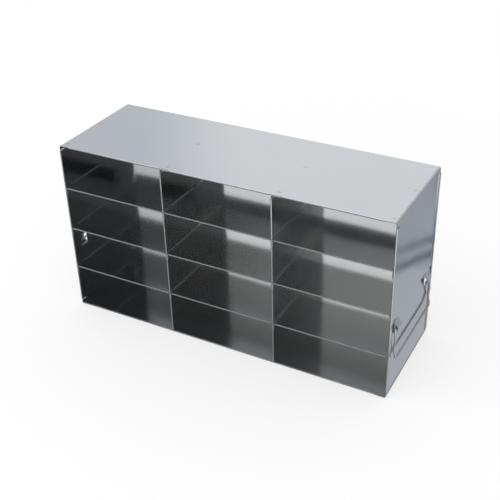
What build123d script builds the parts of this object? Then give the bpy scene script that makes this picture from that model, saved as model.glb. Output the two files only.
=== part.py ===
"""Side-access freezer storage rack folded from stainless sheet.

Three columns by four rows of open cells stand between two end panels.  Every sheet is one
folded blank with safe, hemmed front and rear edges, and the blanks are spot welded together.
A bent-wire bail handle hangs from two lanced bridges in each end panel.

Millimetres.  +X runs along the rack, +Y from its front to its rear, +Z up.
The origin is the centre of the footprint, on the surface that the rack stands on.
"""
import os
from math import atan2, cos, tan

from build123d import *

# Sheet and its folds
SHEET = 0.9                # stainless sheet that every panel is folded from
BEND_INSIDE = 0.7          # inside radius of a press-brake bend
HEM = 5.0                  # width of the strip folded flat behind a safe edge
EDGE_SETBACK = 0.2         # how far a plain cut edge stands behind the hemmed edges
JOINT_GAP = 0.3            # clearance between the cut edge of one blank and its neighbour

# Cells
COLUMNS = 3
ROWS = 4
CELL_WIDTH = 138.5         # clear width between two walls
CELL_HEIGHT = 55.1         # clear height between two floors
DEPTH = 139.0              # front hem to rear hem

# Flanges, all measured from the outer face of their bend
SHELF_FLANGE = 11.0        # side flange that a shelf hangs by
SHELF_FLANGE_CORNER = 2.0  # chamfer on the free corners of that flange
WALL_FLANGE = 12.4         # flange of an end panel or divider, under the top
REAR_FLANGE = 12.0         # stop flange that the top turns down at the rear

# Relief slots sawn at the end of a wall's hem
RELIEF_DROP = 5.2          # from the wall's flange down to the middle of the slot
RELIEF_SLOT = 1.0
RELIEF_LENGTH = 7.5

# Tabs that locate the dividers in the bottom panel
TAB_COUNT = 3
TAB_LENGTH = 14.0
TAB_SPACING = 46.0
TAB_CLEARANCE = 0.1

# Lanced bridges that carry the bail handles
BRIDGE_WIDTH = 12.0
BRIDGE_HEIGHT = 15.0       # root to root
BRIDGE_PROUD = 4.7         # panel face to the bridge's outer face
BRIDGE_LEG = 5.6           # height over which a leg slopes out to full height
BRIDGE_BEND = 2.8          # radius of the bridge's outer face at its four bends
BRIDGE_SLIT = 1.5          # how far the cuts run on past each root, to let the strip bend
BRIDGE_BASE = 80.7         # height of the lower root above the ground
BRIDGE_EDGE = 13.6         # panel's edge to the nearer side of a bridge
LANCE_CUT = 0.12           # width of the cut along each side of a bridge

# Bent-wire bail handle; each drop is measured down from the pivot
WIRE = 2.5                 # wire diameter
WIRE_BEND = 2.6            # bend radius of the wire's centre line
WIRE_SIDES = 16            # flats that make up the wire's round section
PIVOT_STANDOFF = 1.9       # panel face to the pivot axis
KNEE_DROP = 16.4
KNEE_STANDOFF = 3.1
HEEL_DROP = 23.3           # the heel is the bend that rests against the panel
BAR_DROP = 37.6
BAR_STANDOFF = 4.4
BAIL_CLEARANCE = 0.35      # between the wire and the bridge or the panel
WIRE_TIP = 1.8             # length of wire that shows past the inner side of a bridge

# Worked out from the sizes above
BEND_OUTSIDE = BEND_INSIDE + SHEET
WIRE_RADIUS = WIRE / 2
COLUMN_PITCH = CELL_WIDTH + SHEET
ROW_PITCH = CELL_HEIGHT + SHEET
LENGTH = COLUMNS * COLUMN_PITCH + SHEET
FLOOR_TOP = 2 * SHEET                       # the bottom panel lies on the end panels' flanges
HEIGHT = FLOOR_TOP + ROWS * ROW_PITCH
WALL_TOP = HEIGHT - SHEET                   # outer face of the flanges under the top
HALF_LENGTH = LENGTH / 2
HALF_DEPTH = DEPTH / 2
PLAIN_EDGE = HALF_DEPTH - EDGE_SETBACK
RELIEF_HEIGHT = WALL_TOP - RELIEF_DROP      # middle of the upper relief slots
HEM_TOP = RELIEF_HEIGHT - RELIEF_SLOT / 2
LOWER_RELIEF = RELIEF_DROP
HEM_BOTTOM = LOWER_RELIEF + RELIEF_SLOT / 2
REAR_STOP_BOTTOM = HEIGHT - REAR_FLANGE

UP = (0, 0, 1)
DOWN = (0, 0, -1)
RIGHT = (1, 0, 0)
LEFT = (-1, 0, 0)


def block(x_range, y_range, z_range):
    """Return the box that fills three (low, high) ranges."""
    centre = [(low + high) / 2 for low, high in (x_range, y_range, z_range)]
    spans = [high - low for low, high in (x_range, y_range, z_range)]
    return Pos(*centre) * Box(*spans)


def folded_sheet(corners, half_width, side=Side.RIGHT, bend=BEND_OUTSIDE):
    """Fold a strip of sheet through XZ corners of its outer face, and run it along Y."""
    outer_face = FilletPolyline(*corners, radius=bend)
    section = make_face(offset(outer_face, amount=SHEET, side=side))
    return extrude(Plane.XZ * section, amount=half_width, both=True)


def closed_hem(sheet, start, along, main_side, length):
    """Fold one edge of a sheet flat against itself.

    start lies on the edge line, in the plane between the two layers; main_side points from
    there to the sheet's own layer, and the folded strip lies on the other side.
    """
    edge = Plane(origin=start, x_dir=along, z_dir=main_side)
    cut_back = block((-JOINT_GAP, length + JOINT_GAP), (-SHEET, SHEET), (-SHEET / 2, 1.5 * SHEET))
    fold = Pos(length / 2, SHEET, 0) * Rot(0, 90, 0) * Cylinder(SHEET, length)
    strip = block((0, length), (SHEET, HEM), (-SHEET, 0))
    return sheet - edge * cut_back + edge * fold + edge * strip


def front_hem(sheet, x_range, fold_plane):
    """Hem the front edge of a level sheet, whose underside is the fold plane, along X."""
    low, high = x_range
    return closed_hem(sheet, (low, -HALF_DEPTH, fold_plane), RIGHT, UP, high - low)


def front_and_rear_hems(sheet, x_range, fold_plane):
    """Hem both long edges of a level sheet, whose underside is the fold plane, along X."""
    low, high = x_range
    sheet = front_hem(sheet, x_range, fold_plane)
    return closed_hem(sheet, (high, HALF_DEPTH, fold_plane), LEFT, UP, high - low)


def relief_slot(x_range, y_edge, height):
    """Return the round-ended slot that frees a hem from the flange beside it."""
    outline = Plane.YZ * SlotOverall(2 * RELIEF_LENGTH, RELIEF_SLOT)
    low, high = x_range
    return Pos(low, y_edge, height) * extrude(outline, amount=high - low)


def clearance_for_stop(x_range, bottom, side=1):
    """Return the space that the top's rear stop and its bend need; side -1 puts it in front."""
    near, far = HALF_DEPTH - BEND_OUTSIDE - JOINT_GAP, HALF_DEPTH + SHEET
    return block(x_range, sorted((side * near, side * far)), (bottom, HEIGHT))


def wall_left_face(index):
    """X of the left face of a wall; wall 0 is the left end panel's web."""
    return -HALF_LENGTH + index * COLUMN_PITCH


def floor_height(level):
    """Z of the top face of a floor; level 0 is the bottom panel."""
    return FLOOR_TOP + level * ROW_PITCH


def pivot_height():
    """Z of the bail's pivot, where the wire hangs just clear of the bridge's lower leg."""
    slope = atan2(BRIDGE_LEG, BRIDGE_PROUD)
    rise = PIVOT_STANDOFF * tan(slope) + (SHEET + WIRE_RADIUS + BAIL_CLEARANCE) / cos(slope)
    return BRIDGE_BASE + rise


def bridge_ranges():
    """Y ranges of the two bridges in the right end panel, front one first."""
    outer = HALF_DEPTH - BRIDGE_EDGE
    inner = outer - BRIDGE_WIDTH
    return (-outer, -inner), (inner, outer)


def lanced_bridge(panel, y_range):
    """Push a strip of the right end panel outwards, still joined at its top and bottom."""
    low, high = y_range
    face = HALF_LENGTH
    foot, head = BRIDGE_BASE, BRIDGE_BASE + BRIDGE_HEIGHT
    cut_range = (foot - BRIDGE_SLIT, head + BRIDGE_SLIT)
    window = block((face - 2 * SHEET, face + SHEET), (low - LANCE_CUT, high + LANCE_CUT), cut_range)
    corners = [
        (face, cut_range[0] - SHEET),
        (face, foot),
        (face + BRIDGE_PROUD, foot + BRIDGE_LEG),
        (face + BRIDGE_PROUD, head - BRIDGE_LEG),
        (face, head),
        (face, cut_range[1] + SHEET),
    ]
    strip = folded_sheet(corners, BRIDGE_WIDTH / 2, side=Side.LEFT, bend=BRIDGE_BEND)
    return panel - window + Pos(0, (low + high) / 2, 0) * strip


def right_end_panel():
    """End panel: web, top and bottom flanges, outward hems and two bridges for the bail.

    The same part, turned half round, is the left end panel, so both ends of its top flange
    stand clear of the stop.
    """
    inner_edge = HALF_LENGTH - WALL_FLANGE
    corners = [(inner_edge, 0), (HALF_LENGTH, 0), (HALF_LENGTH, WALL_TOP), (inner_edge, WALL_TOP)]
    panel = folded_sheet(corners, PLAIN_EDGE, side=Side.LEFT)
    hem_length = HEM_TOP - HEM_BOTTOM
    panel = closed_hem(panel, (HALF_LENGTH, -HALF_DEPTH, HEM_BOTTOM), UP, LEFT, hem_length)
    panel = closed_hem(panel, (HALF_LENGTH, HALF_DEPTH, HEM_TOP), DOWN, LEFT, hem_length)
    through_web = (HALF_LENGTH - 2 * SHEET, HALF_LENGTH + 2 * SHEET)
    for y_edge in (-HALF_DEPTH, HALF_DEPTH):
        for height in (LOWER_RELIEF, RELIEF_HEIGHT):
            panel -= relief_slot(through_web, y_edge, height)
    flange_range = (inner_edge - SHEET, HALF_LENGTH - BEND_OUTSIDE)
    for side in (-1, 1):
        panel -= clearance_for_stop(flange_range, WALL_TOP - 2 * SHEET, side)
    for y_range in bridge_ranges():
        panel = lanced_bridge(panel, y_range)
    return panel


def top_panel():
    """Lid that covers the flanges of all four walls and turns down behind them as a stop."""
    half = HALF_LENGTH - BEND_OUTSIDE - JOINT_GAP
    corners = [(-PLAIN_EDGE, HEIGHT), (HALF_DEPTH, HEIGHT), (HALF_DEPTH, REAR_STOP_BOTTOM)]
    outer_face = FilletPolyline(*corners, radius=BEND_OUTSIDE)
    section = make_face(offset(outer_face, amount=SHEET, side=Side.RIGHT))
    panel = extrude(Plane.YZ * section, amount=half, both=True)
    for column in range(COLUMNS):
        low = wall_left_face(column) + WALL_FLANGE + JOINT_GAP
        high = wall_left_face(column + 1) - SHEET - JOINT_GAP
        if column == COLUMNS - 1:
            high = HALF_LENGTH - WALL_FLANGE - JOINT_GAP
        panel = front_hem(panel, (low, high), WALL_TOP)
    return panel


def tab_centres():
    """Y of the tabs under a divider."""
    return [(index - (TAB_COUNT - 1) / 2) * TAB_SPACING for index in range(TAB_COUNT)]


def bottom_panel():
    """Lowest floor, on the end panels' bottom flanges, slotted for the dividers' tabs."""
    half = HALF_LENGTH - BEND_OUTSIDE - JOINT_GAP
    panel = block((-half, half), (-PLAIN_EDGE, PLAIN_EDGE), (SHEET, FLOOR_TOP))
    hem_half = HALF_LENGTH - WALL_FLANGE - JOINT_GAP
    panel = front_and_rear_hems(panel, (-hem_half, hem_half), SHEET)
    half_tab = TAB_LENGTH / 2 + TAB_CLEARANCE
    for wall in range(1, COLUMNS):
        left = wall_left_face(wall)
        for y in tab_centres():
            panel -= block(
                (left - TAB_CLEARANCE, left + SHEET + TAB_CLEARANCE),
                (y - half_tab, y + half_tab),
                (0, HEIGHT),
            )
    return panel


def divider(wall):
    """Wall between two columns: top flange, tabs, and hems notched where shelves are welded."""
    left = wall_left_face(wall)
    corners = [(left, FLOOR_TOP), (left, WALL_TOP), (left + WALL_FLANGE, WALL_TOP)]
    panel = folded_sheet(corners, PLAIN_EDGE)
    notches = [
        (floor_height(level) - SHELF_FLANGE - JOINT_GAP, floor_height(level) + JOINT_GAP)
        for level in range(1, ROWS)
    ]
    starts = [FLOOR_TOP + JOINT_GAP] + [top for _, top in notches]
    front_ends = [bottom for bottom, _ in notches] + [HEM_TOP]
    rear_ends = front_ends[:-1] + [REAR_STOP_BOTTOM - JOINT_GAP]
    for low, high in zip(starts, front_ends):
        panel = closed_hem(panel, (left, -HALF_DEPTH, high), DOWN, RIGHT, high - low)
    for low, high in zip(starts, rear_ends):
        panel = closed_hem(panel, (left, HALF_DEPTH, low), UP, RIGHT, high - low)
    panel -= relief_slot((left - 2 * SHEET, left + 2 * SHEET), -HALF_DEPTH, RELIEF_HEIGHT)
    wall_range = (left - 2 * SHEET, left + WALL_FLANGE + SHEET)
    panel -= clearance_for_stop(wall_range, REAR_STOP_BOTTOM - JOINT_GAP)
    for y in tab_centres():
        tab_range = (y - TAB_LENGTH / 2, y + TAB_LENGTH / 2)
        panel += block((left, left + SHEET), tab_range, (SHEET, FLOOR_TOP))
    return panel


def shelf(column, level):
    """Floor of one cell: a channel welded by its side flanges between two walls."""
    left = wall_left_face(column) + SHEET
    right = wall_left_face(column + 1)
    top = floor_height(level)
    bottom = top - SHELF_FLANGE
    panel = folded_sheet([(left, bottom), (left, top), (right, top), (right, bottom)], PLAIN_EDGE)
    free_corners = panel.edges().filter_by(Axis.X).group_by(Axis.Z)[0]
    panel = chamfer(free_corners.filter_by(lambda edge: edge.length < 2 * SHEET), SHELF_FLANGE_CORNER)
    inset = BEND_OUTSIDE + JOINT_GAP
    return front_and_rear_hems(panel, (left + inset, right - inset), top - SHEET)


def bail_handle():
    """Right bail: the wire's turned-in ends hang in the two bridges of the end panel.

    Those ends are truly round, because the bail turns on them; the rest has many flats.
    """
    (near_low, _), (_, far_high) = bridge_ranges()
    arm_offset = WIRE_RADIUS + BAIL_CLEARANCE
    front_arm, rear_arm = near_low - arm_offset, far_high + arm_offset
    reach = BRIDGE_WIDTH + arm_offset + WIRE_TIP
    pivot = pivot_height()

    def along_arm(y):
        places = [
            (PIVOT_STANDOFF, 0),
            (KNEE_STANDOFF, KNEE_DROP),
            (WIRE_RADIUS + BAIL_CLEARANCE, HEEL_DROP),
            (BAR_STANDOFF, BAR_DROP),
        ]
        return [(HALF_LENGTH + standoff, y, pivot - drop) for standoff, drop in places]

    tips = [(HALF_LENGTH + PIVOT_STANDOFF, y, pivot) for y in (front_arm + reach, rear_arm - reach)]
    route = [tips[0], *along_arm(front_arm), *reversed(along_arm(rear_arm)), tips[1]]
    path = FilletPolyline(*route, radius=WIRE_BEND)
    wire_end = Plane(origin=path @ 0, z_dir=path % 0)
    wire = sweep(wire_end * RegularPolygon(WIRE_RADIUS, WIRE_SIDES), path=path)
    turning_length = reach - WIRE_BEND
    for (x, y, z), inwards in zip(tips, (1, -1)):
        middle = y - inwards * turning_length / 2
        wire += Pos(x, middle, z) * Rot(90, 0, 0) * Cylinder(WIRE_RADIUS, turning_length)
    return wire


def rack():
    """Return every piece of the rack by name."""
    turned = Rot(0, 0, 180)
    pieces = {
        "top_panel": top_panel(),
        "bottom_panel": bottom_panel(),
        "right_end_panel": right_end_panel(),
        "right_bail_handle": bail_handle(),
    }
    pieces["left_end_panel"] = turned * pieces["right_end_panel"]
    pieces["left_bail_handle"] = turned * pieces["right_bail_handle"]
    for wall in range(1, COLUMNS):
        pieces[f"divider_{wall}"] = divider(wall)
    for column in range(COLUMNS):
        for level in range(1, ROWS):
            pieces[f"shelf_column_{column + 1}_level_{level}"] = shelf(column, level)
    return pieces


def main():
    """Write one STEP file for each piece."""
    os.makedirs("parts", exist_ok=True)
    for name, piece in rack().items():
        export_step(piece, os.path.join("parts", f"{name}.step"))
        print(f"{name}: {piece.volume:.1f} mm3")


if __name__ == "__main__":
    main()
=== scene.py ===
"""Studio scene of a freezer storage rack folded from stainless sheet.

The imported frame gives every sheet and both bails.  This script dresses the sheets in mill-finish
stainless steel, bends two smooth wires in place of the many-sided ones, and sets up a plain pale
studio.  Metres throughout, in the frame's own axes: +X along the rack, +Y to its rear, +Z up.
"""
import logging
import math
from dataclasses import dataclass, field
from enum import Enum
from typing import Dict, List, Optional, Sequence, Tuple, Union

import bmesh
import bpy
from mathutils import Matrix, Vector

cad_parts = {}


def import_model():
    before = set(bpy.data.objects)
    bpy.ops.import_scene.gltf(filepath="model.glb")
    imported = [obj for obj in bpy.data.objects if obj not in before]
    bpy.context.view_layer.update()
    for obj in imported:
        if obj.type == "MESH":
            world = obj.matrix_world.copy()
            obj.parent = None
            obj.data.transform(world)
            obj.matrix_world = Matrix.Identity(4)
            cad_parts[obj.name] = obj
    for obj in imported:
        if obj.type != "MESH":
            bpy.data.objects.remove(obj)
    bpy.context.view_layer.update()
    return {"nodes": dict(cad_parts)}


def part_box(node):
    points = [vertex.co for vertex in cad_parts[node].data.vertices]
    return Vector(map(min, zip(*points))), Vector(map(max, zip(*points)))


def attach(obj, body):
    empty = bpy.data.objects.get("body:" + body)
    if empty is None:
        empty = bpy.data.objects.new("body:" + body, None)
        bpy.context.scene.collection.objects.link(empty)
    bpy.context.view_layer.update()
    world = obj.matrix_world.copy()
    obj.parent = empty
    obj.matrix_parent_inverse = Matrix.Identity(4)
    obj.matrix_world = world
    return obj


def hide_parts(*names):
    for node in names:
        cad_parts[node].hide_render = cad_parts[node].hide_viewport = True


LOG = logging.getLogger("rack")

MM = 0.001
IMAGE = 500                    # side of the square render, in pixels
BAIL_NODE = "bail_handle"
MEAN = 0.5                     # mean value of a noise
WHITE = (1.0, 1.0, 1.0, 1.0)

Colour = Tuple[float, float, float]
Point = Tuple[float, float, float]
Span = Tuple[float, float]     # where a ramp is 0 and where it is 1
Number = Union[int, float]
Source = Union["Shade", Number]


class Grain(Enum):
    """Axis that the rolling direction of a sheet runs along."""

    X = 0
    Y = 1
    Z = 2


class Owner(Enum):
    """What a node tree belongs to, with the collection and the output node that go with it."""

    MATERIAL = ("materials", "ShaderNodeOutputMaterial")
    WORLD = ("worlds", "ShaderNodeOutputWorld")


class Side(Enum):
    """End of the rack that a bail hangs on; a left bail is a right one turned half round."""

    RIGHT = 1
    LEFT = -1

    @property
    def word(self) -> str:
        """The side's name as the pieces' names have it."""
        return self.name.lower()


@dataclass(frozen=True)
class Shade:
    """A number that varies over a surface: an output socket with arithmetic."""

    graph: "Graph"
    socket: Optional[bpy.types.NodeSocket]

    def _maths(self, operation: str, first: Source, second: Source = 0.0) -> "Shade":
        """Add one Math node.

        Args:
            operation: Blender's name for the sum to do.
            first: first operand.
            second: second operand, for the operations that take one.

        Returns:
            The node's result.
        """
        return self.graph.add("ShaderNodeMath", {"operation": operation}, {0: first, 1: second})

    def __add__(self, other: Source) -> "Shade":
        """Sum."""
        return self._maths("ADD", self, other)

    def __radd__(self, other: Source) -> "Shade":
        """Sum, with the number first."""
        return self._maths("ADD", other, self)

    def __sub__(self, other: Source) -> "Shade":
        """Difference."""
        return self._maths("SUBTRACT", self, other)

    def __rsub__(self, other: Source) -> "Shade":
        """Difference, with the number first."""
        return self._maths("SUBTRACT", other, self)

    def __mul__(self, other: Source) -> "Shade":
        """Product."""
        return self._maths("MULTIPLY", self, other)

    def __rmul__(self, other: Source) -> "Shade":
        """Product, with the number first."""
        return self._maths("MULTIPLY", other, self)

    def modulo(self, other: Source) -> "Shade":
        """Remainder that is never negative."""
        return self._maths("FLOORED_MODULO", self, other)

    def most(self, other: Source) -> "Shade":
        """The larger of two values."""
        return self._maths("MAXIMUM", self, other)

    def root(self) -> "Shade":
        """Square root."""
        return self._maths("SQRT", self)

    def ramp(self, low: float, high: float) -> "Shade":
        """Rise smoothly from 0 to 1.

        Args:
            low: value at which the result is 0.
            high: value at which the result is 1; below low, the ramp falls.

        Returns:
            The smoothed value.
        """
        inputs = {"Value": self, "From Min": min(low, high), "From Max": max(low, high),
                  "To Min": float(low > high), "To Max": float(low < high)}
        return self.graph.add("ShaderNodeMapRange", {"interpolation_type": "SMOOTHSTEP"}, inputs)


@dataclass
class Graph:
    """One node tree, and the few ways that this scene adds to it."""

    name: str
    owner: Owner = Owner.MATERIAL
    holder: bpy.types.ID = field(init=False)

    def __post_init__(self) -> None:
        """Make the empty tree."""
        self.holder = getattr(bpy.data, self.owner.value[0]).new(self.name)
        self.holder.use_nodes = True
        self.holder.node_tree.nodes.clear()

    def add(self, kind: str, settings: Optional[Dict[str, object]] = None,
            inputs: Optional[Dict[Union[str, int], object]] = None,
            output: Union[str, int] = 0) -> Shade:
        """Add one node.

        Args:
            kind: Blender's type name of the node.
            settings: the node's own properties, set before its sockets.
            inputs: a value or another node's output for each socket, by name or place.
            output: name or place of the output to return.

        Returns:
            The chosen output.
        """
        node = self.holder.node_tree.nodes.new(kind)
        for key, value in (settings or {}).items():
            setattr(node, key, value)
        for key, value in (inputs or {}).items():
            socket = node.inputs[key]
            if isinstance(value, Shade):
                self.holder.node_tree.links.new(value.socket, socket)
            else:
                socket.default_value = value
        return Shade(self, node.outputs[output] if len(node.outputs) else None)

    def rays(self, kind: str) -> Shade:
        """1 for the named kind of ray, and 0 for every other."""
        return self.add("ShaderNodeLightPath", output=kind)

    def position(self) -> Shade:
        """Place on the piece, in metres."""
        return self.add("ShaderNodeTexCoord", output="Object")

    def axes(self) -> Tuple[Shade, Shade, Shade]:
        """The place's three coordinates, in metres."""
        place = self.position()
        return tuple(self.add("ShaderNodeSeparateXYZ", inputs={0: place}, output=axis)
                     for axis in range(3))

    def stretched(self, scale: Point) -> Shade:
        """The place, scaled differently along each axis."""
        return self.add("ShaderNodeMapping", inputs={"Vector": self.position(), "Scale": scale})

    def noise(self, scale: Point, detail: float = 3.0, roughness: float = 0.5) -> Shade:
        """Add a noise whose patches measure 1/scale metres.

        Args:
            scale: patches per metre along each axis.
            detail: octaves of finer noise.
            roughness: strength of each octave against the one before.

        Returns:
            A value around one half.
        """
        inputs = {"Vector": self.stretched(scale), "Scale": 1.0, "Detail": detail,
                  "Roughness": roughness}
        return self.add("ShaderNodeTexNoise", inputs=inputs)

    def blend(self, amount: Source, first: Union[Shade, Colour],
              second: Union[Shade, Colour]) -> Shade:
        """Mix two colours.

        Args:
            amount: 0 gives the first and 1 the second.
            first: colour or output.
            second: colour or output.

        Returns:
            The mixture.
        """
        sides = [value if isinstance(value, Shade) else (*value, 1.0) for value in (first, second)]
        colour_a, colour_b, result = 6, 7, 2     # places of the Mix node's colour sockets
        inputs = {0: amount, colour_a: sides[0], colour_b: sides[1]}
        return self.add("ShaderNodeMix", {"data_type": "RGBA"}, inputs, result)

    def bump(self, height: Shade, distance: float, over: Optional[Shade] = None) -> Shade:
        """Turn a height into a normal.

        Args:
            height: value from 0 to 1.
            distance: depth in metres that 1 stands for.
            over: normal to add it to.

        Returns:
            The bumped normal.
        """
        inputs: Dict[Union[str, int], object] = {
            "Height": height, "Distance": distance, "Strength": 1.0}
        if over is not None:
            inputs["Normal"] = over
        return self.add("ShaderNodeBump", inputs=inputs)

    def surface(self, shader: Shade) -> bpy.types.ID:
        """Send a shader to the output and return the material or world."""
        self.add(self.owner.value[1], inputs={"Surface": shader})
        return self.holder


@dataclass(frozen=True)
class SpotWeld:
    """One round weld mark seen face on; None leaves that axis out, so the mark runs through."""

    x: Optional[float]
    y: Optional[float]
    z: Optional[float]
    radius: float = 2.4 * MM
    tint: float = 1.0

    def distance(self, axes: Sequence[Shade]) -> Shade:
        """Distance from the weld's middle, counted in its radius."""
        total: Optional[Shade] = None
        for axis, centre in zip(axes, (self.x, self.y, self.z)):
            if centre is not None:
                offset = axis - centre
                total = offset * offset if total is None else total + offset * offset
        return total.root() * (1.0 / self.radius)


@dataclass(frozen=True)
class WeldLook:
    """Brown halo, darker core and shallow dimple of a weld, with spans counted in its radius."""

    halo: Span = (1.9, 0.6)
    halo_colour: Colour = (0.30, 0.235, 0.16)
    halo_share: float = 0.16
    core: Span = (0.75, 0.35)
    core_colour: Colour = (0.16, 0.12, 0.085)
    core_share: float = 0.14
    core_roughness: float = 0.12
    dimple: Span = (1.25, 0.8)
    dimple_depth: float = 0.06 * MM


@dataclass(frozen=True)
class MillSheet:
    """2B mill-finish stainless sheet: cool grey, softly mirroring, faintly grained and wavy.

    Scales are in patches per metre, and a pair of them is along and across the grain.
    """

    name: str
    grain: Grain
    colour: Colour = (0.585, 0.612, 0.64)
    roughness: float = 0.11
    wave_depth: float = 0.35 * MM
    wave_size: float = 90 * MM
    welds: Tuple[SpotWeld, ...] = ()
    weld_look: WeldLook = WeldLook()
    weld_pitch: Optional[float] = None
    weld_base: float = 0.0
    # painted highlight: a near-white line along the sheet's end edges, at this distance from its
    # middle along X
    cut_edge: Optional[float] = None
    edge_span: Span = (0.35 * MM, 0.1 * MM)
    edge_colour: Colour = (0.95, 0.96, 0.97)
    dark_share: float = 0.86
    light_share: float = 1.10
    cloud_scale: float = 9.0
    cloud_tone: float = 0.10
    cloud_roughness: float = 0.05
    streak_scale: Span = (6.0, 420.0)
    streak_tone: float = 0.07
    streak_roughness: float = 0.03
    streak_depth: float = 0.0008 * MM
    line_scale: Span = (90.0, 2600.0)
    line_depth: float = 0.0004 * MM
    pickle_scale: float = 900.0
    pickle_tone: float = 0.04
    pickle_roughness: float = 0.02

    def _stretch(self, along: float, across: float) -> Point:
        """Noise scale that runs along the grain."""
        return tuple(along if axis == self.grain.value else across for axis in range(3))

    def material(self) -> bpy.types.Material:
        """Build the finish.

        Returns:
            The material.
        """
        graph = Graph(self.name)
        axes = list(graph.axes())
        if self.weld_pitch is not None:
            axes[2] = (axes[2] - self.weld_base).modulo(self.weld_pitch)
        cloud = graph.noise((self.cloud_scale,) * 3)
        streak = graph.noise(self._stretch(*self.streak_scale), roughness=0.6)
        lines = graph.noise(self._stretch(*self.line_scale), detail=2.0)
        pickle_marks = graph.noise((self.pickle_scale,) * 3, detail=2.0, roughness=0.7)
        tone = ((cloud - MEAN) * self.cloud_tone + (streak - MEAN) * self.streak_tone
                + (pickle_marks - MEAN) * self.pickle_tone)
        dark = tuple(channel * self.dark_share for channel in self.colour)
        light = tuple(min(channel * self.light_share, 1.0) for channel in self.colour)
        colour = graph.blend(tone * 2.0 + MEAN, dark, light)
        rough = (self.roughness + (cloud - MEAN) * self.cloud_roughness
                 + (streak - MEAN) * self.streak_roughness
                 + (pickle_marks - MEAN) * self.pickle_roughness)
        wave = graph.noise((1.0 / self.wave_size,) * 3, detail=1.0)
        normal = graph.bump(wave, self.wave_depth)
        normal = graph.bump(streak, self.streak_depth, over=normal)
        normal = graph.bump(lines, self.line_depth, over=normal)
        # painted highlight: a near-white line along the sheet's end edges
        if self.cut_edge is not None:
            along = (axes[0] * axes[0]).root()
            start, stop = (self.cut_edge - inset for inset in self.edge_span)
            colour = graph.blend(along.ramp(start, stop), colour, self.edge_colour)
        look = self.weld_look
        dimple: Optional[Shade] = None
        for weld in self.welds:
            away = weld.distance(axes)
            halo = away.ramp(*look.halo) * (look.halo_share * weld.tint)
            core = away.ramp(*look.core) * (look.core_share * weld.tint)
            colour = graph.blend(halo, colour, look.halo_colour)
            colour = graph.blend(core, colour, look.core_colour)
            press = away.ramp(*look.dimple) * weld.tint
            dimple = press if dimple is None else dimple + press
            rough = rough + core * look.core_roughness
        if dimple is not None:
            normal = graph.bump(1.0 - dimple, look.dimple_depth, over=normal)
        shader = graph.add("ShaderNodeBsdfPrincipled", inputs={
            "Base Color": colour, "Metallic": 1.0, "Roughness": rough, "Normal": normal})
        return graph.surface(shader)


@dataclass(frozen=True)
class DrawnWire:
    """Bright drawn stainless wire with faint die lines round its length."""

    name: str = "drawn_wire"
    colour: Colour = (0.56, 0.57, 0.58)
    dark_share: float = 0.8
    roughness: float = 0.16
    cloud_scale: float = 60.0
    cloud_tone: float = 0.7
    cloud_roughness: float = 0.1
    line_scale: Point = (2400.0, 60.0, 2400.0)
    line_tone: float = 0.3
    line_depth: float = 0.003 * MM

    def material(self) -> bpy.types.Material:
        """Build the finish.

        Returns:
            The material.
        """
        graph = Graph(self.name)
        cloud = graph.noise((self.cloud_scale,) * 3, detail=2.0)
        lines = graph.noise(self.line_scale, detail=2.0)
        dark = tuple(channel * self.dark_share for channel in self.colour)
        colour = graph.blend(cloud * self.cloud_tone + lines * self.line_tone, dark, self.colour)
        shader = graph.add("ShaderNodeBsdfPrincipled", inputs={
            "Base Color": colour, "Metallic": 1.0,
            "Roughness": self.roughness + (cloud - MEAN) * self.cloud_roughness,
            "Normal": graph.bump(lines, self.line_depth)})
        return graph.surface(shader)


def add_object(name: str, data: bpy.types.ID) -> bpy.types.Object:
    """Make an object of some data and link it to the scene."""
    made = bpy.data.objects.new(name, data)
    bpy.context.scene.collection.objects.link(made)
    return made


def flat_mesh(name: str, width: float, height: float) -> bpy.types.Mesh:
    """Make a flat rectangle.

    Args:
        name: name of the mesh.
        width: its size along X.
        height: its size along Y.

    Returns:
        The mesh, with its middle at the origin.
    """
    sheet = bmesh.new()
    bmesh.ops.create_grid(sheet, x_segments=1, y_segments=1, size=0.5)
    bmesh.ops.scale(sheet, vec=(width, height, 1.0), verts=sheet.verts)
    mesh = bpy.data.meshes.new(name)
    sheet.to_mesh(mesh)
    sheet.free()
    return mesh


def outward(azimuth: float, elevation: float) -> Vector:
    """Direction away from the rack.

    Args:
        azimuth: degrees from the front towards +X.
        elevation: degrees above the floor.

    Returns:
        The unit vector.
    """
    turn, tilt = math.radians(azimuth), math.radians(elevation)
    return Vector((math.sin(turn) * math.cos(tilt), -math.cos(turn) * math.cos(tilt),
                   math.sin(tilt)))


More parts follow.
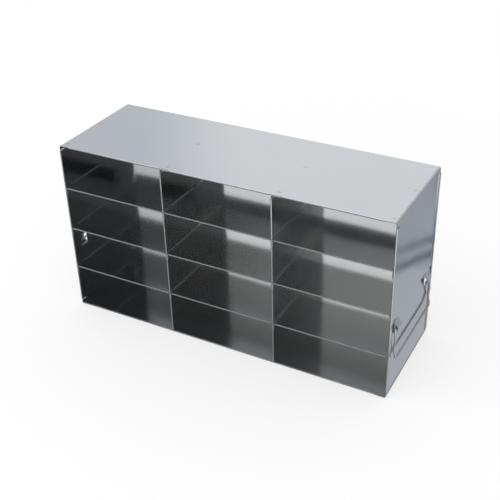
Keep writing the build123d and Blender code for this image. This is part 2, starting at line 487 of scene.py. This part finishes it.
@dataclass(frozen=True)
class BentWire:
    """One bail: round wire bent through both bridges and along the bar between them.

    The profile gives each bend of an arm as its distance out from the panel and its drop below
    the turning axis.  A bend takes a step of the spin for every so many degrees.
    """

    side: Side
    face: float
    pivot: float
    arm: float = 57.5 * MM
    tip: float = 42.1 * MM
    radius: float = 1.25 * MM
    bend: float = 2.6 * MM
    profile: Tuple[Tuple[float, float], ...] = (
        (1.9 * MM, 0.0), (3.1 * MM, 16.4 * MM), (1.6 * MM, 23.3 * MM), (4.4 * MM, 37.6 * MM))
    sides: int = 28
    step: float = 12.0
    fewest_steps: int = 2
    tip_break: float = 0.25 * MM
    merge_distance: float = 0.001 * MM

    @classmethod
    def reach_below(cls) -> float:
        """How far the bar's underside hangs below the turning axis."""
        return cls.profile[-1][1] + cls.radius

    def _corners(self) -> List[Vector]:
        """Corners of the wire's middle line, from tip to tip."""
        arm = [Vector((self.face + out, -self.arm, self.pivot - drop))
               for out, drop in self.profile]
        half = [Vector((arm[0].x, -self.tip, arm[0].z)), *arm]
        whole = half + [Vector((corner.x, -corner.y, corner.z)) for corner in reversed(half)]
        sign = self.side.value
        return [Vector((corner.x * sign, corner.y * sign, corner.z)) for corner in whole]

    @staticmethod
    def _rim(geometry: Sequence[object]
             ) -> Tuple[List[bmesh.types.BMVert], List[bmesh.types.BMEdge]]:
        """The newest ring's vertices and edges, out of what an operator returns."""
        verts = [item for item in geometry if isinstance(item, bmesh.types.BMVert)]
        kept = set(verts)
        edges = [item for item in geometry
                 if isinstance(item, bmesh.types.BMEdge) and kept.issuperset(item.verts)]
        return verts, edges

    def build(self) -> bpy.types.Object:
        """Draw the wire along its straights, spin it round its bends and close its tips.

        Returns:
            The bail.
        """
        corners = self._corners()
        wire = bmesh.new()
        heading = (corners[1] - corners[0]).to_track_quat("Z", "Y").to_matrix().to_4x4()
        bmesh.ops.create_circle(wire, segments=self.sides, radius=self.radius,
                                matrix=Matrix.Translation(corners[0]) @ heading)
        edges = list(wire.edges)
        place = corners[0]
        for corner, after in zip(corners[1:], corners[2:] + [None]):
            way = (corner - place).normalized()
            turn = way.angle(after - corner) if after else 0.0
            stop = corner - way * (self.bend * math.tan(turn / 2))
            verts, edges = self._rim(bmesh.ops.extrude_edge_only(wire, edges=edges)["geom"])
            bmesh.ops.translate(wire, vec=stop - place, verts=verts)
            place = stop
            if after:
                onward = (after - corner).normalized()
                axis = way.cross(onward).normalized()
                steps = max(self.fewest_steps, round(math.degrees(turn) / self.step))
                spun = bmesh.ops.spin(wire, geom=verts + edges, axis=axis, angle=turn, steps=steps,
                                      cent=stop + axis.cross(way) * self.bend)
                edges = self._rim(spun["geom_last"])[1]
                place = corner + onward * (corner - stop).length
        tips = [edge for edge in wire.edges if edge.is_boundary]
        bmesh.ops.holes_fill(wire, edges=tips, sides=0)
        bmesh.ops.bevel(wire, geom=tips, offset=self.tip_break, segments=2, profile=0.5,
                        affect="EDGES", material=-1)
        bmesh.ops.remove_doubles(wire, verts=wire.verts, dist=self.merge_distance)
        bmesh.ops.recalc_face_normals(wire, faces=wire.faces)
        for face in wire.faces:
            face.smooth = len(face.verts) < self.sides
        mesh = bpy.data.meshes.new(f"{self.side.word}_bail_wire")
        wire.to_mesh(mesh)
        wire.free()
        return add_object(mesh.name, mesh)

    def hang(self, material: bpy.types.Material) -> None:
        """Build the bail and let it swing in its bridges.

        Args:
            material: finish of the wire.
        """
        piece = self.build()
        piece.data.materials.append(material)
        body = f"{self.side.word}_bail"
        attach(piece, body)
        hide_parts(f"{self.side.word}_{BAIL_NODE}")
        LOG.info("%s rides on %s, %d faces", piece.name, body, len(piece.data.polygons))


@dataclass(frozen=True)
class SheetPlan:
    """Sizes of the rack's sheets that the finishes need; depths are counted from the front."""

    half_depth: float
    half_length: float = 209.55 * MM
    sheet: float = 0.9 * MM
    columns: int = 3
    pitch: float = 139.4 * MM
    level: float = 56.0 * MM
    flange_inset: float = 6.5 * MM
    top_depths: Tuple[float, ...] = (8 * MM, 73 * MM, 134 * MM)
    rear_margin: float = 10 * MM
    rear_tint: float = 0.25
    shelf_depths: Tuple[float, ...] = (5.5 * MM, 70 * MM, 133.5 * MM)
    shelf_drop: float = 6 * MM
    shelf_radius: float = 1.3 * MM

    def top_welds(self) -> Tuple[SpotWeld, ...]:
        """Marks where the top panel is welded to the flanges below it, fainter at the rear."""
        left_face = -self.half_length
        lines = [left_face + index * self.pitch + self.flange_inset
                 for index in range(self.columns)]
        lines.append(self.half_length - self.flange_inset)
        rear = 2 * self.half_depth - self.rear_margin
        return tuple(SpotWeld(line, depth - self.half_depth, None,
                              tint=self.rear_tint if depth > rear else 1.0)
                     for line in lines for depth in self.top_depths)

    def shelf_welds(self) -> Tuple[SpotWeld, ...]:
        """Marks on the side flanges of every shelf, at one height below its floor."""
        height = self.level - self.shelf_drop
        return tuple(SpotWeld(None, depth - self.half_depth, height, radius=self.shelf_radius)
                     for depth in self.shelf_depths)


@dataclass
class Rack:
    """The folded sheets of the frame, dressed in their finishes."""

    nodes: Dict[str, bpy.types.Object]
    plan: SheetPlan
    # painted shade: shelves and bottom get a darker copy of the steel's colour, so the cells look
    # dim
    inner_colour: Colour = (0.54, 0.553, 0.566)
    inner_roughness: float = 0.13
    # painted light: dividers get a lighter copy of the steel's colour, so the walls of the cells
    # show lighter than their floors
    wall_colour: Colour = (0.72, 0.72, 0.715)
    end_colour: Colour = (0.56, 0.59, 0.625)
    end_wave_depth: float = 0.45 * MM
    end_wave_size: float = 80 * MM

    def _finishes(self) -> Dict[str, MillSheet]:
        """The finish of each kind of sheet, by the first word of its name; the colour of the
        shelves and bottom carries painted shade, and that of the dividers painted light.
        """
        plan = self.plan
        end = MillSheet("mill_end", Grain.Z, colour=self.end_colour,
                        wave_depth=self.end_wave_depth, wave_size=self.end_wave_size)
        return {
            # the top's end edges carry a painted highlight
            "top": MillSheet("mill_top", Grain.X, welds=plan.top_welds(),
                             cut_edge=plan.half_length),
            "bottom": MillSheet("mill_bottom", Grain.X, colour=self.inner_colour,
                                roughness=self.inner_roughness),
            "right": end,
            "left": end,
            "divider": MillSheet("mill_divider", Grain.Z, colour=self.wall_colour,
                                 roughness=self.inner_roughness),
            "shelf": MillSheet("mill_shelf", Grain.X, welds=plan.shelf_welds(),
                               weld_pitch=plan.level, weld_base=2 * plan.sheet,
                               colour=self.inner_colour, roughness=self.inner_roughness),
        }

    def dress(self) -> None:
        """Give every sheet the finish of its own rolling direction."""
        finishes = self._finishes()
        made: Dict[str, bpy.types.Material] = {}
        for name, node in sorted(self.nodes.items()):
            if name.endswith(BAIL_NODE):
                continue
            finish = finishes[name.split("_")[0]]
            if finish.name not in made:
                made[finish.name] = finish.material()
            material = made[finish.name]
            if not node.material_slots:
                node.data.materials.append(material)
            for slot in node.material_slots:
                slot.material = material
            LOG.info("%s wears %s", name, material.name)


@dataclass(frozen=True)
class Lens:
    """The camera's place and frame.  Angles in degrees; its centre and focus in pixels."""

    azimuth: float = 28.319
    elevation: float = 31.317
    roll: float = -1.328
    distance: float = 1.0759
    aside: float = 15.397 * MM
    above: float = 0.312 * MM
    focal_pixels: float = 893.806
    centre_x: float = 259.037
    centre_y: float = 239.468
    sensor: float = 36.0
    nearest: float = 0.01
    farthest: float = 50.0
    target: Point = (0.0, 0.0, 112.9 * MM)

    def place(self) -> None:
        """Make the scene's camera."""
        turn, roll = math.radians(self.azimuth), math.radians(self.roll)
        back = outward(self.azimuth, self.elevation)
        level = Vector((math.cos(turn), math.sin(turn), 0.0))
        upright = back.cross(level)
        right = level * math.cos(roll) + upright * math.sin(roll)
        up = upright * math.cos(roll) - level * math.sin(roll)
        data = bpy.data.cameras.new("camera")
        data.sensor_width = self.sensor
        data.lens = self.focal_pixels * data.sensor_width / IMAGE
        middle = (IMAGE - 1) / 2
        data.shift_x = (middle - self.centre_x) / IMAGE
        data.shift_y = (self.centre_y - middle) / IMAGE
        data.clip_start = self.nearest
        data.clip_end = self.farthest
        camera = add_object("camera", data)
        turned = Matrix((right, up, back)).transposed().to_4x4()
        place = (Vector(self.target) + back * self.distance + right * self.aside
                 + up * self.above)
        camera.matrix_world = Matrix.Translation(place) @ turned
        bpy.context.scene.camera = camera


@dataclass(frozen=True)
class SoftBox:
    """One square area lamp."""

    name: str
    azimuth: float
    elevation: float
    distance: float
    size: float
    power: float

    def place(self, aim: Point) -> None:
        """Hang the lamp and aim it.

        Args:
            aim: point that it shines at.
        """
        away = outward(self.azimuth, self.elevation)
        data = bpy.data.lights.new(self.name, "AREA")
        data.shape = "SQUARE"
        data.size = self.size
        data.energy = self.power
        lamp = add_object(self.name, data)
        lamp.rotation_euler = away.to_track_quat("Z", "Y").to_euler()
        lamp.location = Vector(aim) + away * self.distance
        lamp.visible_glossy = False


@dataclass(frozen=True)
class Flag:
    """Soft-edged grey card that only polished metal sees, as is hung round steel in a studio.

    The card's own X runs across it and its own Y up it, and its turn is in degrees; softness is
    the width of its faded rim.
    """

    name: str
    centre: Point
    turn: Point
    width: float
    height: float
    level: Colour
    softness: float

    def _material(self) -> bpy.types.Material:
        """Grey that fades out towards the card's rim."""
        graph = Graph(self.name)
        x, y, _ = graph.axes()
        across = (x * x).root().ramp(self.width / 2, self.width / 2 - self.softness)
        upward = (y * y).root().ramp(self.height / 2, self.height / 2 - self.softness)
        clear = graph.add("ShaderNodeBsdfTransparent")
        grey = graph.add("ShaderNodeEmission", inputs={
            "Color": (*self.level, 1.0), "Strength": 1.0})
        return graph.surface(graph.add("ShaderNodeMixShader", inputs={
            0: across * upward, 1: clear, 2: grey}))

    def hang(self) -> None:
        """Put the card in its place."""
        mesh = flat_mesh(self.name, self.width, self.height)
        mesh.materials.append(self._material())
        card = add_object(self.name, mesh)
        card.location = self.centre
        card.rotation_euler = [math.radians(angle) for angle in self.turn]
        for sight in ("camera", "diffuse", "shadow", "transmission", "volume_scatter"):
            setattr(card, f"visible_{sight}", False)


WALL_FLAGS = (
    Flag("rear_right_flag", (1.95, 1.70, 1.8), (90.0, 0.0, -49.0), 2.9, 2.0,
         (0.10, 0.10, 0.10), 0.4),
    Flag("right_horizon", (2.02, 1.77, 0.6), (90.0, 0.0, -49.0), 3.4, 1.8,
         (0.50, 0.51, 0.53), 0.3),
    Flag("left_flag", (-2.1, 1.3, 0.9), (90.0, 0.0, 52.0), 2.6, 2.4,
         (0.74, 0.76, 0.78), 0.5),
    Flag("low_left_flag", (-1.264, 1.135, 0.1), (90.0, 0.0, 28.3), 1.45, 1.3,
         (0.06, 0.06, 0.06), 0.2),
    Flag("front_flag", (0.0, -2.3, 1.0), (90.0, 0.0, 0.0), 4.5, 2.4,
         (0.48, 0.49, 0.50), 0.5),
)
OVERHEAD_FLAGS = (
    Flag("overhead_flag", (-0.4, -1.3, 1.7), (37.4, 0.0, 0.0), 3.2, 2.2,
         (0.27, 0.27, 0.275), 0.5),
    Flag("overhead_strip", (-0.45, 0.1, 2.2), (0.0, 0.0, 0.0), 2.4, 1.1,
         (2.2, 2.2, 2.2), 0.15),
)
# Painted light and shade of the floor round the rack, on cards that only mirrors see: a lighter
# card over the contact shadow beside the end panel, a grey one beyond it, two dark bands, and one
# brighter than white in front.
FLOOR_FLAGS = (
    Flag("floor_beside", (0.25485, 0.045, 0.002), (0.0, 0.0, 0.0), 0.0903, 0.33,
         (0.52, 0.54, 0.56), 0.0015),
    Flag("floor_beyond", (0.534, 0.421, 0.003), (0.0, 0.0, -15.4), 0.45, 0.60,
         (0.42, 0.45, 0.48), 0.015),
    Flag("floor_band_near", (0.272, 0.211, 0.004), (0.0, 0.0, 117.5), 0.20, 0.022,
         (0.15, 0.16, 0.175), 0.009),
    Flag("floor_band_far", (0.300, 0.226, 0.004), (0.0, 0.0, 121.0), 0.20, 0.024,
         (0.20, 0.21, 0.225), 0.011),
    Flag("floor_front", (0.59, -0.46, 0.002), (0.0, 0.0, 0.0), 0.62, 0.88,
         (1.2, 1.2, 1.2), 0.03),
)


@dataclass(frozen=True)
class Studio:
    """Plain pale floor, white backdrop and soft light."""

    floor_side: float = 6.0
    floor_seen: Colour = (0.98, 0.98, 0.98)
    floor_lit: Colour = (0.38, 0.385, 0.395)
    # painted shadow: colour that mirrors see on the floor behind the rack, where its shadow falls
    floor_behind: Colour = (0.085, 0.085, 0.085)
    behind_depth: Span = (0.02, 0.09)
    behind_corner: float = 0.21
    behind_slope: float = 3.3
    behind_edge: Span = (0.06, 0.12)
    floor_sheen: float = 0.55
    sheen_colour: Colour = (1.0, 0.965, 0.92)
    sheen_roughness: float = 0.15
    sheen_side: Span = (-0.5, 0.1)
    sheen_near: Span = (-0.08, 0.25)
    sheen_far: Span = (0.6, 0.25)
    floor_glow: float = 0.6
    fade: Span = (0.35, 1.0)
    horizon: Span = (1.0, 2.0)
    world_light: float = 0.9
    lamps: Tuple[SoftBox, ...] = (
        SoftBox("key", azimuth=-35, elevation=55, distance=1.8, size=1.2, power=6),
        SoftBox("fill", azimuth=60, elevation=35, distance=2.2, size=1.4, power=3),
    )
    flags: Tuple[Flag, ...] = WALL_FLAGS + OVERHEAD_FLAGS + FLOOR_FLAGS

    def _floor_material(self) -> bpy.types.Material:
        """Floor that keeps the shadow near the object and fades to white around it.

        Mirrors see a painted shadow of the rack on it behind the rack, and see it polished there.
        """
        graph = Graph("studio_floor")
        x, y, _ = graph.axes()
        away = (x * x + y * y).root()
        white = graph.add("ShaderNodeEmission", inputs={"Color": WHITE, "Strength": 1.0})
        seen = graph.rays("Is Camera Ray")
        glossy = graph.rays("Is Glossy Ray")
        # painted shadow of the rack behind it, for glossy rays only
        past_corner = y - (x - self.behind_corner) * self.behind_slope
        behind = y.ramp(*self.behind_depth) * past_corner.ramp(*self.behind_edge)
        lit = graph.blend(behind * glossy, self.floor_lit, self.floor_behind)
        colour = graph.blend(seen, lit, self.floor_seen)
        paint = graph.add("ShaderNodeBsdfDiffuse", inputs={"Color": colour})
        sheen = graph.add("ShaderNodeBsdfGlossy", inputs={
            "Color": (*self.sheen_colour, 1.0), "Roughness": self.sheen_roughness})
        polish = x.ramp(*self.sheen_side) * y.ramp(*self.sheen_near) * y.ramp(*self.sheen_far)
        matt = graph.add("ShaderNodeMixShader", inputs={
            0: glossy * polish * self.floor_sheen, 1: paint, 2: sheen})
        glow = away.ramp(*self.fade) * (1.0 - self.floor_glow) + self.floor_glow
        near = glow * seen.most(graph.rays("Is Transmission Ray"))
        far = away.ramp(*self.horizon) * glossy
        mixed = graph.add("ShaderNodeMixShader", inputs={0: near.most(far), 1: matt, 2: white})
        return graph.surface(mixed)

    def _light_world(self) -> None:
        """White to the camera and in mirrors, softer as a source of light."""
        graph = Graph("studio", Owner.WORLD)
        mirrored = graph.rays("Is Camera Ray").most(graph.rays("Is Glossy Ray"))
        seen = mirrored.most(graph.rays("Is Transmission Ray"))
        strength = seen * (1.0 - self.world_light) + self.world_light
        sky = graph.add("ShaderNodeBackground", inputs={"Color": WHITE, "Strength": strength})
        bpy.context.scene.world = graph.surface(sky)

    def set_up(self) -> None:
        """Lay the floor, hang the lamps and cards, and place the camera."""
        mesh = flat_mesh("studio_floor", self.floor_side, self.floor_side)
        mesh.materials.append(self._floor_material())
        add_object("studio_floor", mesh)
        self._light_world()
        lens = Lens()
        for lamp in self.lamps:
            lamp.place(lens.target)
        for flag in self.flags:
            flag.hang()
        lens.place()
        bpy.context.scene.view_settings.view_transform = "Standard"
        LOG.info("studio has %d lamps and %d cards", len(self.lamps), len(self.flags))


def main() -> None:
    """Dress the frame and report each piece."""
    logging.basicConfig(level=logging.INFO, format="%(name)s: %(message)s")
    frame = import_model()
    plan = SheetPlan(half_depth=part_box("right_end_panel")[1].y)
    Rack(frame["nodes"], plan).dress()
    wire = DrawnWire().material()
    for side in Side:
        bail_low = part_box(f"{side.word}_{BAIL_NODE}")[0]
        pivot = bail_low.z + BentWire.reach_below()
        BentWire(side, face=plan.half_length, pivot=pivot).hang(wire)
    Studio().set_up()


if __name__ == "__main__":
    main()
